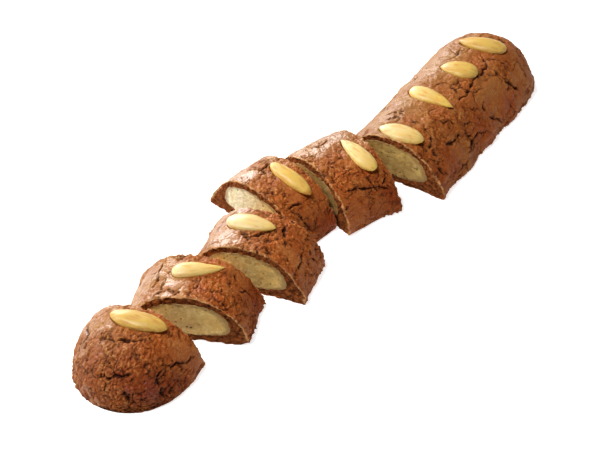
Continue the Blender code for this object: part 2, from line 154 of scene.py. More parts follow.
crust = {
    "spacing": 0.00031,  # of the skin's mesh
    "longSpacing": 0.00039,  # the same on the uncut piece
    "soleSpacing": 0.0013,
    "endArc": 0.036,  # length of a rounded end's quarter
    "faceSteps": 20,
    "mouth": 0.0006,  # how far behind a cut the wall round the paste begins
    "swellSize": 0.017,
    "swellHeight": 0.0008,
    "swellShift": Vector((3.1, 0.0, 7.7)),
    "cragSize": 0.0062,
    "cragHeight": 0.00045,
    "cragShift": Vector((0.0, 5.3, 1.9)),
    "skinHeight": 0.00014,  # how far smooth skin stands above open crumb
    "crumbSize": 0.0023,
    "crumbHeight": 0.00044,
    "noseCrumbHeight": 0.00012,  # what the rounded first end has more
    "wrinkleHeight": 0.00021,
    "waveHeight": 0.00024,
    "humpHeight": 0.00022,  # on the uncut piece
    "foldHeight": 0.00085,  # low on the -Y side
    "raggedHeight": 0.0011,
    "crackDepth": 0.00130,
    "crackWidth": 0.00062,
    "lipHeight": 0.00014,  # of the crust beside a crack
    "plateSize": 0.0125,  # between the wide cracks
    "wideDepth": 0.00060,
    "tileSize": 0.0046,  # between the fine cracks
    "fineDepth": 0.00045,
    "poreSpacing": 0.0017,
    "poreDepth": 0.00050,
    "pitDepth": 0.0011,
    "almondDip": 0.0019,
    "almondRim": 0.00022,  # how far the skin rises round an almond
    "footCrumbHeight": 0.00042,
    "footWaveHeight": 0.00030,
    "knifeRound": 0.00030,  # of the edge at a knife cut
    "chip": 0.0009,  # how far crumbs broke off along it
    "fineChip": 0.00035,
    "chipReach": 0.0018,
    "cutRelief": 0.00065,
    "cutHoleDepth": 0.0007,
    "bluntDepth": 0.0022,  # how far a broken corner is worn back from its cut
    "bluntRound": 0.0009,
    "bluntReach": 0.0050,
    "toneAlongBar": [  # x along the bar, how light the crust's colour is made there
        (0.0, 0.74), (0.016, 0.86), (0.024, 1.04), (0.034, 1.16),
        (0.042, 1.15), (0.126, 1.15), (0.160, 1.0), (0.280, 1.03),
    ],
    # where the dough bulged at its foot: x along the bar, lean from the crown towards -Y, spread, height
    "bulges": [
        (0.0680, 84, 0.0060, 0.0010),
        (0.1000, -84, 0.0045, 0.0016),
        (0.1570, 84, 0.0070, 0.0017),
        (0.1860, 84, 0.0080, 0.0014),
        (0.2120, 86, 0.0065, 0.0012),
        (0.2370, 84, 0.0060, 0.0009),
    ],
    # the deeper cracks, each a path of x along the bar and lean from the crown towards -Y
    "cracks": [
        ((0.0184, -23), (0.0196, -6), (0.0216, 7), (0.0256, 20)),
        ((0.0042, -18), (0.0049, 3), (0.0077, 15), (0.0106, 26)),
        ((0.0035, 20), (0.0026, 38), (0.0027, 60)),
        ((0.0361, 62), (0.0302, 58), (0.0234, 52), (0.0182, 46)),
        ((0.0187, 41), (0.0136, 49), (0.0117, 63), (0.0123, 76)),
        ((0.0160, -50), (0.0240, -44), (0.0320, -52)),
        ((0.0415, -27), (0.0445, -21), (0.0540, -20)),
        ((0.0662, -30), (0.0578, -31), (0.0481, -32)),
        ((0.0437, 20), (0.0443, 32), (0.0420, 43)),
        ((0.0560, 40), (0.0610, 52), (0.0600, 66)),
        ((0.0944, 14), (0.0894, 21), (0.0847, 24), (0.0803, 29)),
        ((0.0764, -8), (0.0793, 0), (0.0829, 4), (0.0891, 18)),
        ((0.0913, 48), (0.0886, 55), (0.0899, 68)),
        ((0.0859, 41), (0.0816, 49), (0.0738, 52)),
        ((0.1218, -16), (0.1160, -12), (0.1095, -11)),
        ((0.1064, 41), (0.1085, 54), (0.1104, 67)),
        ((0.1019, 34), (0.1089, 34), (0.1126, 37)),
        ((0.1317, 37), (0.1385, 41), (0.1450, 46), (0.1527, 52), (0.1562, 60)),
        ((0.1566, 36), (0.1557, 44), (0.1529, 51)),
        ((0.1354, -22), (0.1413, -20), (0.1474, -20)),
        ((0.1340, -50), (0.1430, -44), (0.1520, -49)),
        ((0.2449, 7), (0.2407, 16), (0.2346, 18), (0.2257, 16), (0.2182, 21), (0.2087, 19), (0.2008, 22)),
        ((0.1781, -28), (0.1798, -17), (0.1829, -7)),
        ((0.2166, 40), (0.2167, 56), (0.2248, 74)),
        ((0.2080, 62), (0.1986, 59), (0.1925, 64), (0.1876, 66)),
        ((0.1780, 18), (0.1724, 28), (0.1667, 30)),
        ((0.1610, 55), (0.1645, 53), (0.1679, 66)),
        ((0.2415, 40), (0.2443, 52), (0.2481, 65)),
        ((0.2576, 34), (0.2584, 46), (0.2578, 59)),
        ((0.1771, 40), (0.1856, 44), (0.1923, 44)),
        ((0.1760, -52), (0.1850, -45), (0.1940, -50), (0.2020, -44)),
        ((0.2250, -40), (0.2290, -52), (0.2260, -66)),
        ((0.2430, -50), (0.2510, -42), (0.2590, -46)),
    ],
    # the rest are x along the bar, lean from the crown towards -Y, reach
    "glossyPlates": [  # smooth skin that shines
        (0.0240, -27, 0.0020), (0.0271, -17, 0.0022), (0.0162, -18, 0.0018), (0.0289, -51, 0.0024),
        (0.0294, 44, 0.0060), (0.0512, -14, 0.0034), (0.0475, -3, 0.0026), (0.0407, -15, 0.0022),
        (0.0505, 0, 0.0022), (0.0595, -50, 0.0050), (0.0595, -38, 0.0045), (0.0766, -21, 0.0050),
        (0.0748, -8, 0.0030), (0.0984, -23, 0.0040), (0.0904, -42, 0.0050), (0.0787, 44, 0.0040),
        (0.1041, -20, 0.0050), (0.1118, -3, 0.0015), (0.1373, -9, 0.0050), (0.1500, -15, 0.0040),
        (0.1586, 4, 0.0020), (0.1825, -20, 0.0080), (0.1675, -23, 0.0018), (0.2411, -24, 0.0080),
        (0.2256, -22, 0.0080), (0.2494, 51, 0.0050), (0.2308, 42, 0.0070),
    ],
    "crumbPatches": [  # open crumb
        (0.0099, 6, 0.0080), (0.0122, -10, 0.0060), (0.0078, 30, 0.0080), (0.0055, -20, 0.0050),
        (0.0228, 20, 0.0060), (0.0499, 20, 0.0070), (0.0487, 36, 0.0060), (0.0420, 43, 0.0050),
        (0.0764, 0, 0.0060), (0.0805, 8, 0.0050), (0.0882, 22, 0.0040), (0.1158, -18, 0.0040),
        (0.1030, 2, 0.0050), (0.1044, 20, 0.0050), (0.1029, 39, 0.0060), (0.1366, 23, 0.0040),
        (0.1526, 55, 0.0040), (0.1363, 2, 0.0040), (0.1727, 8, 0.0040), (0.1904, 15, 0.0040),
        (0.2184, 20, 0.0040), (0.2088, 50, 0.0040), (0.1663, 50, 0.0060), (0.1005, -80, 0.0060),
    ],
    "pits": [
        (0.0411, -26, 0.0011), (0.0437, -12, 0.0010), (0.0609, 29, 0.0008), (0.0444, 34, 0.0009),
        (0.0467, 17, 0.0006), (0.0532, 12, 0.0006), (0.0183, 13, 0.0010), (0.0050, -11, 0.0009),
        (0.0053, -5, 0.0009), (0.0103, 10, 0.0007), (0.0154, 70, 0.0015), (0.0830, 26, 0.0013),
        (0.0880, 23, 0.0010), (0.1117, -10, 0.0012), (0.2375, 12, 0.0009), (0.2157, 19, 0.0009),
        (0.2028, 20, 0.0011), (0.1667, 30, 0.0013), (0.1960, 54, 0.0012), (0.2194, 41, 0.0009),
    ],
    "caramelSpots": [
        (0.0109, -20, 0.0025), (0.0106, 47, 0.0030), (0.0086, 60, 0.0030), (0.0042, 34, 0.0020),
        (0.0485, 7, 0.0030), (0.1255, 78, 0.0030), (0.1255, 64, 0.0030), (0.1757, -1, 0.0025),
        (0.0998, -84, 0.0030),
    ],
    "scorchAndShadeSpots": [  # darker and redder, mostly low on the -Y side: partly scorching, partly painted shade
        (0.0080, 54, 0.0065), (0.0140, 66, 0.0060), (0.0075, 12, 0.0030), (0.0640, 66, 0.0070),
        (0.1200, 70, 0.0060), (0.1560, 66, 0.0070), (0.2080, 66, 0.0060), (0.1760, 60, 0.0060),
        (0.2350, 68, 0.0060),
    ],
    "raggedFeet": [  # crumbs hang on at the foot
        (0.1018, -82, 0.0028), (0.1560, 80, 0.0040), (0.0670, 82, 0.0035), (0.0480, 78, 0.0040),
    ],
    "bluntFeet": [(0.0400, 88, 0.0032)],  # corners that broke off at a cut's -X side
}


def signedPower(value, exponent):
    return np.sign(value) * np.abs(value) ** exponent


def domeOutline(angle):  # (across, up) from the +Y foot at angle 0 over the crown to the -Y foot
    across = signedPower(np.cos(angle), 2 / bar["acrossPower"]) * bar["width"] / 2
    up = np.maximum(np.sin(angle), 0.0) ** (2 / bar["upPower"]) * bar["height"]
    tuck = np.clip(1 - up / bar["tuckHeight"], 0.0, 1.0) ** 2
    return across - np.sign(across) * bar["footTuck"] * tuck, up


def evenSection(spacing):  # the closed section, its dome finely and its sole coarsely sampled
    angle = np.linspace(0, pi, 4001)
    across, up = domeOutline(angle)
    travelled = np.concatenate(([0], np.cumsum(np.hypot(np.diff(across), np.diff(up)))))
    steps = round(travelled[-1] / spacing)
    domeAngles = np.interp(np.linspace(0, travelled[-1], steps + 1), travelled, angle)
    across, up = domeOutline(domeAngles)
    soleSteps = round((across[0] - across[-1]) / crust["soleSpacing"])
    soleAcross = np.linspace(across[-1], across[0], soleSteps + 1)[1:-1]
    lean = np.concatenate((np.degrees(domeAngles) - 90, np.full(len(soleAcross), 180.0)))
    return np.concatenate((across, soleAcross)), np.concatenate((up, soleAcross * 0)), lean


def widthShare(x):
    reach = np.minimum(x / bar["noseLength"], (bar["length"] - x) / bar["tailLength"])
    reach = np.clip(reach, 0.0, 1.0)
    return (1 - (1 - reach) ** bar["endPower"]) ** (1 / bar["endPower"])


def skinSpot(x, lean):  # a point of the smooth bar
    across, up = domeOutline(np.radians(90 + lean))
    share = widthShare(x)
    return np.array([x, across * share, up * share ** bar["dropPower"]])


def skinTilt(x, lean):  # its outward normal across the bar
    before, after = skinSpot(x, lean - 0.6), skinSpot(x, lean + 0.6)
    run = after - before
    normal = np.cross(run, (1.0, 0.0, 0.0))
    return normal / np.linalg.norm(normal)


def cadRelief(points):  # the swells, crags and bulges that the solid has too
    flat = points.reshape(-1, 3)
    height = np.empty(len(flat))
    for i, spot in enumerate(map(Vector, flat.tolist())):
        swell = noise.noise(spot / crust["swellSize"] + crust["swellShift"])
        crag = noise.noise(spot / crust["cragSize"] + crust["cragShift"])
        height[i] = crust["swellHeight"] * swell + crust["cragHeight"] * crag
    for x, lean, spread, rise in crust["bulges"]:
        height += rise * hill(np.linalg.norm(flat - skinSpot(x, lean), axis=1), spread)
    return height.reshape(points.shape[:-1])


almond = {
    "thickness": 0.0056,
    "sink": 0.0004,  # how far its middle lies under the skin
    "power": 2.3,
    "rings": 90,
    "around": 72,
    "groove": 0.00009,
    "bend": 0.00045,
    "lump": 0.00018,
    # one value for each almond
    "toastAndShading": (1.35, 0.25, 0.20, 0.50, -0.15, 0.05, 0.60, 0.75, 1.05),
    "tone": (0.72, 0.96, 0.90, 0.90, 1.02, 0.92, 0.94, 0.76, 0.72),
    "tipBrown": (0.2, 0.3, 0.1, 1.0, 0.2, 0.1, 0.6, 0.2, 0.3),
    "streaky": (2.8, 1.2, 1.1, 1.7, 1.3, 1.2, 1.7, 1.6, 1.9),
}

almonds = [  # along, across, length, width, turn, side its tip faces, blunt end, tip
    (0.0322, -0.0014, 0.0268, 0.0104, 2.0, 1, 0.56, 0.60),
    (0.0598, -0.0018, 0.0240, 0.0092, 20.0, 1, 0.43, 0.95),
    (0.0877, 0.0042, 0.0243, 0.0110, 0.0, 1, 0.50, 0.74),
    (0.1173, -0.0068, 0.0262, 0.0089, 0.0, 1, 0.55, 0.62),
    (0.1502, -0.0064, 0.0241, 0.0096, 4.0, -1, 0.46, 0.76),
    (0.1665, -0.0010, 0.0235, 0.0120, 6.0, -1, 0.60, 0.67),
    (0.1995, 0.0002, 0.0253, 0.0103, -4.0, 1, 0.42, 0.88),
    (0.2280, 0.0000, 0.0197, 0.0128, 16.0, -1, 0.48, 0.67),
    (0.2537, 0.0000, 0.0256, 0.0113, 13.0, -1, 0.50, 0.73),
]


def almondHalf(share, blunt, tip):
    share = np.clip(share, -1 + 1e-7, 1 - 1e-7)
    widest = (blunt - tip) / (blunt + tip)
    fullest = (1 + widest) ** blunt * (1 - widest) ** tip
    return (1 + share) ** blunt * (1 - share) ** tip / fullest


def almondPlace(row):  # from the almond's own axes to the whole bar
    along, across, _, _, turn, side, _, _ = row
    angle = math.acos(float(signedPower(2 * across / bar["width"], bar["acrossPower"] / 2)))
    lean = math.degrees(angle) - 90
    spot, normal = skinSpot(along, lean), skinTilt(along, lean)
    tilt = math.atan2(-normal[1], normal[2])
    height = spot[2] + float(cadRelief(spot[None])[0]) - almond["sink"]
    return (
        Matrix.Translation((along, across, height))
        @ Matrix.Rotation(tilt, 4, "X")
        @ Matrix.Rotation(math.radians(-90 * side + turn), 4, "Z")
    )


def almondReach(points, row):  # distance from an almond's rim in its own plane, below 0 under it
    flat = points.reshape(-1, 3)
    into = np.array(almondPlace(row).inverted())
    local = flat @ into[:3, :3].T + into[:3, 3]
    length, width, _, _, blunt, tip = row[2:]
    share = np.cos(np.linspace(0, pi, 90))
    half = almondHalf(share, blunt, tip) * width / 2
    rimX = np.concatenate((share, share)) * length / 2
    rimY = np.concatenate((half, -half))
    close = np.hypot(local[:, 0], local[:, 1]) < length
    reach = np.full(len(flat), 1.0)
    nearby = local[close]
    gap = np.hypot(nearby[:, :1] - rimX, nearby[:, 1:2] - rimY).min(axis=1)
    own = almondHalf(np.clip(nearby[:, 0] * 2 / length, -1, 1), blunt, tip) * width / 2
    under = (np.abs(nearby[:, 1]) < own) & (np.abs(nearby[:, 0]) < length / 2)
    reach[close] = np.where(under, -gap, gap)
    return reach.reshape(points.shape[:-1])


def crackDistance(points):  # to the nearest deep crack, with its taper taken in
    flat = drift(drift(points.reshape(-1, 3), 0.0042, 0.0011, 301), 0.0013, 0.0004, 311)
    nearest = np.full(len(flat), 1.0)
    for path in crust["cracks"]:
        spots = []
        for (x0, lean0), (x1, lean1) in zip(path, path[1:]):
            for share in np.linspace(0, 1, 7)[:-1]:
                spots.append(skinSpot(x0 + (x1 - x0) * share, lean0 + (lean1 - lean0) * share))
        spots.append(skinSpot(*path[-1]))
        spots = np.array(spots)
        middle = spots.mean(axis=0)
        close = np.linalg.norm(flat - middle, axis=1) < np.ptp(spots, axis=0).max() + 0.006
        nearby = flat[close]
        best = np.full(len(nearby), 1.0)
        for i, (a, b) in enumerate(zip(spots, spots[1:])):
            run = b - a
            share = np.clip((nearby - a) @ run / (run @ run), 0, 1)
            gap = np.linalg.norm(nearby - a - share[:, None] * run, axis=1)
            travelled = (i + share) / (len(spots) - 1)
            taper = 0.0009 * np.abs(2 * travelled - 1) ** 4
            best = np.minimum(best, gap + taper)
        nearest[close] = np.minimum(nearest[close], best)
    return nearest.reshape(points.shape[:-1])


def patchField(points, patches, spread=1.2):  # 1 in the middle of each patch, fading outwards
    value = np.zeros(points.shape[:-1])
    for x, lean, reach in patches:
        gap = np.linalg.norm(points - skinSpot(x, lean), axis=-1)
        value = np.maximum(value, hill(gap, reach * spread))
    return value


def crumbRelief(points, ragged, lean, zones):  # smooth skin, open crumb, wrinkles and folds, and the painted shade at plate edges, in creases and in fold valleys
    leftward, rightward, uncut, nose = zones
    plates = patchField(ragged, crust["glossyPlates"])
    cover = 0.49 + 0.16 * leftward + 0.11 * rightward + 0.09 * uncut - 0.26 * nose
    cover += 0.60 * plates - 0.45 * patchField(ragged, crust["crumbPatches"])
    cover += (0.42 + 0.12 * uncut) * softNoise(ragged, 0.0095, 61) + 0.26 * softNoise(ragged, 0.0033, 71)
    skin = smoothStep(0.40, 0.62, cover)  # 1 on unbroken skin, 0 on open crumb

    crease = softNoise(ragged, 0.0034, 81)
    _, crumbBorder, crumbCell = cells(ragged, crust["crumbSize"], 87)
    crumbs = smoothStep(0, 0.0006, crumbBorder) - 0.6 + 0.6 * ((crumbCell % 11) / 11 - 0.5)
    lumps = 0.60 * np.abs(crease) - 0.17 + 0.20 * creased(ragged, 0.0017, 91)
    lumps += (0.42 + 0.26 * nose) * crumbs
    lumps += 0.50 * softNoise(ragged, 0.0016, 93) + 0.45 * softNoise(ragged, 0.0010, 95)
    wrinkles = softNoise(ragged, 0.0018, 97) + 0.9 * softNoise(ragged, 0.0009, 99)
    rough = crust["crumbHeight"] + crust["noseCrumbHeight"] * nose
    height = crust["skinHeight"] * skin + rough * (1 - 0.75 * skin) * lumps
    height += crust["wrinkleHeight"] * skin * (1 - plates) * wrinkles
    height += crust["waveHeight"] * layeredNoise(points, 0.0055, 101)
    height += crust["humpHeight"] * uncut * creased(ragged, 0.0060, 105)

    lengthwise = points * np.array((0.32, 1.0, 1.0))
    folds = softNoise(drift(lengthwise, 0.006, 0.0028, 121), 0.0048, 131)
    height += crust["foldHeight"] * folds * smoothStep(36, 58, lean) * (0.35 + 0.65 * uncut)
    foot = 1 - smoothStep(0.0012, 0.0048, points[..., 2])
    height += foot * (crust["footCrumbHeight"] * lumps - 0.00010)
    height += foot * crust["footWaveHeight"] * softNoise(points, 0.0045, 141)
    height += crust["raggedHeight"] * patchField(ragged, crust["raggedFeet"]) * (0.3 + lumps)

    # the share of light left by painted shade: darker at the edges of skin plates, in the creases of open
    # crumb and in fold valleys
    light = (1 - 0.18 * hill(cover - 0.40, 0.07)) * (1 - 0.35 * (1 - skin) * hill(crease, 0.06))
    light *= 1 - 0.35 * hill(folds + 0.75, 0.18) * smoothStep(40, 62, lean)
    # the relief's height, which the colour follows as painted light and shade
    swell = lumps * (1 - 0.6 * skin) + 0.50 * wrinkles * skin
    return height, light, skin, plates, swell


def crackRelief(points, ragged, lean, zones, skin, plates):  # deep, wide and fine cracks, pores, pits, and the painted shade in them
    leftward, _, uncut, nose = zones
    reach = crackDistance(points)
    chain = smoothStep(-0.80, -0.30, softNoise(points, 0.0026, 151))  # breaks a crack up lengthwise
    width = crust["crackWidth"] * (1 + 0.25 * uncut) * (1 + 0.6 * softNoise(points, 0.0019, 161))
    deep = chain * hill(reach, width)

    wander = drift(drift(points, 0.0070, 0.0026, 31), 0.0021, 0.0008, 41)
    wander = drift(wander, 0.0009, 0.00028, 51)
    _, border, _ = cells(wander, crust["plateSize"], 171)
    gape = softNoise(points, 0.0085, 181) + 0.06 * uncut * smoothStep(0, 20, lean) - 0.15 * leftward
    wide = 0.40 * smoothStep(-0.45, -0.15, gape) + 0.60 * smoothStep(-0.05, 0.30, gape)
    width = 0.00020 + 0.00016 * smoothStep(-0.05, 0.35, gape)
    width = width * (1 + 0.5 * softNoise(points, 0.0016, 191))
    wide = wide * (0.5 + 0.5 * uncut) * hill(border, width)
    _, border, _ = cells(wander, crust["tileSize"], 201)
    split = smoothStep(0.05, 0.40, softNoise(points, 0.0052, 211) + 0.22 * (1 - skin))
    fine = split * hill(border, 0.00024) * (1 - 0.6 * skin) * (1 - 0.5 * uncut)

    poreReach, _, poreCell = cells(ragged, crust["poreSpacing"], 221)
    crumbly = (4 + 2 * nose) * (1 - skin) * (plates < 0.3)
    pores = hill(poreReach, 0.00019 + 0.00004 * (poreCell % 7)) * (1 - 0.45 * skin)
    pores *= poreCell % 9 < 1 + crumbly + 4 * hill(reach, 0.0016)
    pores *= 1 - smoothStep(0.1, 0.4, plates)
    holes = patchField(ragged, crust["pits"], 0.62)

    depth = crust["crackDepth"] * deep + crust["wideDepth"] * wide + crust["fineDepth"] * fine
    depth += crust["poreDepth"] * pores + crust["pitDepth"] * holes
    depth -= crust["lipHeight"] * hill(reach - 0.0010, 0.0005) * (0.5 + 0.5 * chain)
    # painted shade: darker in cracks, pores and pits
    light = (1 - deep) * (1 - 0.75 * wide) * (1 - 0.65 * fine) * (1 - 0.90 * pores) * (1 - holes)
    return depth, light


# the first mark is painted shade in recesses, the third a painted highlight along cut edges, the sixth the
# relief's height, which the colour follows as painted light and shade, the last a painted sheen on the +Y
# side
crustMarks = ("crack", "cut", "rim", "skin", "shine", "swell", "glow", "tone", "sheenTint")
crackColumn, cutColumn, rimHighlightColumn = range(3)


def skinRelief(points, lean):  # how far the skin stands out, and its marks for the colour
    x = points[..., 0]
    ragged = drift(drift(points, 0.0042, 0.0013, 11), 0.0013, 0.00045, 21)
    leftward, rightward = smoothStep(-15, -45, lean), smoothStep(35, 62, lean)
    uncut, nose = smoothStep(0.158, 0.165, x), 1 - smoothStep(0.020, 0.038, x)
    zones = leftward, rightward, uncut, nose
    height, light, skin, plates, swell = crumbRelief(points, ragged, lean, zones)
    depth, recessLight = crackRelief(points, ragged, lean, zones, skin, plates)
    light = light * recessLight

    shine = (0.35 + 0.65 * skin) * light * np.clip(0.45 + 0.9 * plates + 0.45 * leftward, 0, 1)
    shine *= (1 - 0.85 * smoothStep(5, 35, lean)) * (1 - 0.55 * uncut)
    glow = patchField(ragged, crust["caramelSpots"])
    tone = np.interp(x, *zip(*crust["toneAlongBar"]))
    # painted shade: the -Y side darker
    tone *= 1 - 0.12 * smoothStep(35, 60, lean) * (1 - 0.6 * uncut)
    sheenTint = smoothStep(28, -22, lean) * smoothStep(-0.010, 0.034, x)  # painted sheen: the +Y side, where the light falls, paler and more tan
    # a little of the tint all over the uncut piece; below 0 on the scorched spots, which also carry painted
    # shade
    sheenTint = np.maximum(sheenTint, 0.25 * uncut) - patchField(ragged, crust["scorchAndShadeSpots"])
    none = np.zeros_like(x)
    # painted shade is the first mark, and skin gives way to crumb colour where it falls
    marks = 1 - light, none, none, skin * light, shine, swell, glow, tone, sheenTint
    return height - depth, np.stack(marks, -1)


def nestle(points, height, paintedShade):  # the skin dips under each almond and rises a little round it, with a painted shade round its rim
    for row in almonds:
        reach = almondReach(points, row)
        under = 1 - smoothStep(-0.0012, 0.00005, reach)
        rim = hill(reach - 0.0007, 0.0006)
        height = height * (1 - under) - crust["almondDip"] * under + crust["almondRim"] * rim
        # painted shade round each almond's rim, where it meets the skin
        paintedShade = np.maximum(paintedShade * (1 - under), 0.38 * hill(reach + 0.0001, 0.0003))
    return height, paintedShade


def weave(name, rings, marks, closed, names):  # a closed mesh from rings of points
    count, around = rings.shape[:2]
    points = rings.reshape(-1, 3)
    values = marks.reshape(-1, marks.shape[-1])
    row, column = np.meshgrid(np.arange(count if closed else count - 1), np.arange(around), indexing="ij")
    nextRow, nextColumn = (row + 1) % count, (column + 1) % around
    quads = np.stack((row, row, nextRow, nextRow), -1) * around
    quads += np.stack((column, nextColumn, nextColumn, column), -1)
    faces = quads.reshape(-1, 4).tolist()
    if not closed:
        for ring in (0, count - 1):
            tip = len(points)
            points = np.vstack((points, rings[ring].mean(axis=0)))
            values = np.vstack((values, marks[ring].mean(axis=0)))
            start = ring * around
            fan = [(start + i, start + (i + 1) % around, tip) for i in range(around)]
            faces += [face if ring else face[::-1] for face in fan]
    mesh = bpy.data.meshes.new(name)
    mesh.from_pydata(points.tolist(), [], faces)
    if signedVolume(points, faces) < 0:
        mesh.flip_normals()
    for i, label in enumerate(names):
        mesh.attributes.new(label, "FLOAT", "POINT").data.foreach_set("value", values[:, i])
    mesh.shade_smooth()
    return mesh


def signedVolume(points, faces):  # below 0 where the faces look inwards
    corners = np.array([(face[0], b, c) for face in faces for b, c in zip(face[1:], face[2:])])
    a, b, c = points[corners].transpose(1, 0, 2)
    return float(np.sum(a * np.cross(b, c)))


def layOut(piece):  # from the whole bar to where the piece lies
    _, start, end, middleX, middleY, turn = piece
    lay = Matrix.Translation((middleX, middleY, 0)) @ Matrix.Rotation(math.radians(turn), 4, "Z")
    return lay @ Matrix.Translation((-(start + end) / 2, 0, 0))


def keepInBox(mesh, ease=0.0006):  # eases what would stand past the solids' box back inside it
    points = np.empty(len(mesh.vertices) * 3)
    mesh.vertices.foreach_get("co", points)
    points = points.reshape(-1, 3)
    low, high = np.array(cadBox[0]), np.array(cadBox[1])
    low[2] = -1.0  # the sole lies on the floor's plane already
    for side, wall in ((1, high), (-1, low)):
        past = side * (points - wall) + ease
        points = np.where(past > 0, wall - side * ease * np.exp(-np.maximum(past, 0.0) / ease), points)
    mesh.vertices.foreach_set("co", points.ravel())


def addPiece(name, mesh, piece, node, material):
    mesh.transform(layOut(piece))
    keepInBox(mesh)
    mesh.materials.append(material)
    obj = bpy.data.objects.new(name, mesh)
    bpy.context.scene.collection.objects.link(obj)
    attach(obj, "root")
    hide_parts(node)
    return obj


paste = {
    "halfWidth": 0.0195,
    "bottom": 0.0036,
    "top": 0.0214,
    "side": 0.0090,  # height at which it is widest
    "power": 2.3,
    "start": 0.013,
    "end": 0.269,
    "endReach": 0.0195,  # how far its own rounded ends reach
    "around": 170,
    "faceSteps": 40,
    "inset": 0.0001,  # of its hidden side from the crust
    "overlap": 0.00035,  # of its cut face over the crust
    "sink": 0.00015,
    "crown": 0.00018,
    "grain": 0.00042,
    "fineGrain": 0.00017,
    "pitDepth": 0.00050,
    # lighter or darker per piece: painted light and shade on the cut faces, darker where a neighbour shades
    # them
    "tone": {"end": 1.0, "slice_1": 1.08, "slice_2": 1.0, "slice_3": 1.0, "slice_4": 0.70, "uncut": 0.76},
    "paleHighlight": {"slice_3": 1.0, "slice_1": 0.25, "slice_2": 0.15},  # painted highlight: creamier towards the +Y side of the faces that look towards -X
    # painted shade: browner faces in the narrow gaps
    "gapShade": {"slice_4": 0.45, "uncut": 0.12},
    "mottle": {"end": 0.3, "slice_1": 0.25, "slice_2": 0.35, "slice_3": 0.1, "slice_4": 0.5, "uncut": 0.8},
}


def pasteRing(theta, x, grow, share=1.0):  # points at a share of the way out to the paste's rim
    up = np.where(np.sin(theta) > 0, paste["top"] - paste["side"], paste["side"] - paste["bottom"])
    power = paste["power"]
    across = np.abs(np.cos(theta)) / paste["halfWidth"]
    reach = (across**power + np.abs(np.sin(theta) / up) ** power) ** (-1 / power)
    spots = np.stack((np.full_like(theta, x), reach * np.cos(theta), reach * np.sin(theta)), -1)
    reach += grow + 0.0005 * softNoise(spots, 0.006, 401) + 0.00028 * softNoise(spots, 0.0019, 411)
    reach = reach * share
    y, z = reach * np.cos(theta), paste["side"] + reach * np.sin(theta)
    return np.stack((np.full_like(y, x), y, z), -1)


def closingRings(theta, xs, grow):  # the paste's side, which closes towards its rounded ends
    reach = np.minimum(xs - paste["start"], paste["end"] - xs) / paste["endReach"]
    shares = np.sqrt(1 - (1 - np.clip(reach, 0.0, 1.0)) ** 2)
    return np.array([pasteRing(theta, x, grow, share) for x, share in zip(xs, shares)])


def skinStations(start, end, spacing):  # the rings' places along the bar, closer in a rounded end
    quarter = round(crust["endArc"] / spacing)
    share = 1 - np.cos(np.linspace(0, pi / 2, quarter + 1)[1:]) ** (2 / bar["endPower"])
    xs = [np.linspace(start, end, max(2, round((end - start) / spacing)) + 1)]
    if start == 0:
        nose = bar["noseLength"] * share
        xs = [nose, np.linspace(nose[-1], end, max(1, round((end - nose[-1]) / spacing)) + 1)[1:]]
    if end == bar["length"]:
        tail = bar["length"] - bar["tailLength"] * share[::-1]
        xs = [np.linspace(start, tail[0], round((tail[0] - start) / spacing) + 1)[:-1], tail]
    return np.concatenate(xs)


def skinRings(start, end):
    spacing = crust["longSpacing"] if end - start > 0.1 else crust["spacing"]
    across, up, lean = evenSection(spacing)
    x = skinStations(start, end, spacing)
    share = widthShare(x)[:, None]
    points = np.stack(np.broadcast_arrays(x[:, None], across * share, up * share ** bar["dropPower"]), -1)
    slopeX = np.gradient(points, axis=0)
    slopeRound = (np.roll(points, -1, axis=1) - np.roll(points, 1, axis=1)) / 2
    normal = np.cross(slopeRound, slopeX)
    normal /= np.maximum(np.linalg.norm(normal, axis=-1), 1e-12)[..., None]
    onSole = np.broadcast_to(points[..., 2] < 1e-6, points.shape[:2])
    lean = np.broadcast_to(lean, points.shape[:2])
    height, marks = skinRelief(points, lean)
    height, paintedShade = nestle(points, height, marks[..., crackColumn])
    height = height + cadRelief(points)
    height = np.where(onSole, np.minimum(height, 0.0), height)
    normal[..., 2] = np.where(onSole, 0.0, normal[..., 2])
    out = points + normal * height[..., None]
    marks[..., crackColumn] = np.where(onSole, 0.2 * paintedShade, paintedShade)
    for x0, side, isCut in ((start, -1, start > 0), (end, 1, end < bar["length"])):
        if isCut:
            wearCut(out, normal, marks, points, x0, side)
    out[..., 2] = np.maximum(out[..., 2], 0.0)
    return out, marks


def wearCut(out, normal, marks, points, x0, side):  # rounds a knife's edge, breaks crumbs off it and marks a painted highlight along it
    ring = 0 if side < 0 else -1
    chip = crust["chip"] * np.clip(0.35 + softNoise(points[ring], 0.0026, 501 + side), 0, 1.3)
    chip = chip + crust["fineChip"] * np.clip(softNoise(points[ring], 0.0010, 511 + side), -0.3, 1)
    far = np.abs(points[..., 0] - x0)
    out[..., 0] -= side * chip * np.clip(1 - far / crust["chipReach"], 0, 1)
    blunt = crust["knifeRound"] * np.clip(1 - far / 0.0006, 0, 1) ** 2
    out -= normal * (blunt + chip * 0.5 * hill(far, 0.0006))[..., None]
    corner = patchField(points, crust["bluntFeet"]) * (side < 0)
    out[..., 0] -= side * crust["bluntDepth"] * corner * np.clip(1 - far / crust["bluntReach"], 0, 1)
    out -= normal * (crust["bluntRound"] * corner * hill(far, 0.0028))[..., None]
    # painted highlight along the cut edge, broken up by noise
    highlightShare = smoothStep(-0.60, 0.05, softNoise(points, 0.0032, 519)) * (points[..., 2] > 0.0006)
    marks[..., rimHighlightColumn] = np.maximum(marks[..., rimHighlightColumn], highlightShare * hill(far, 0.00065))


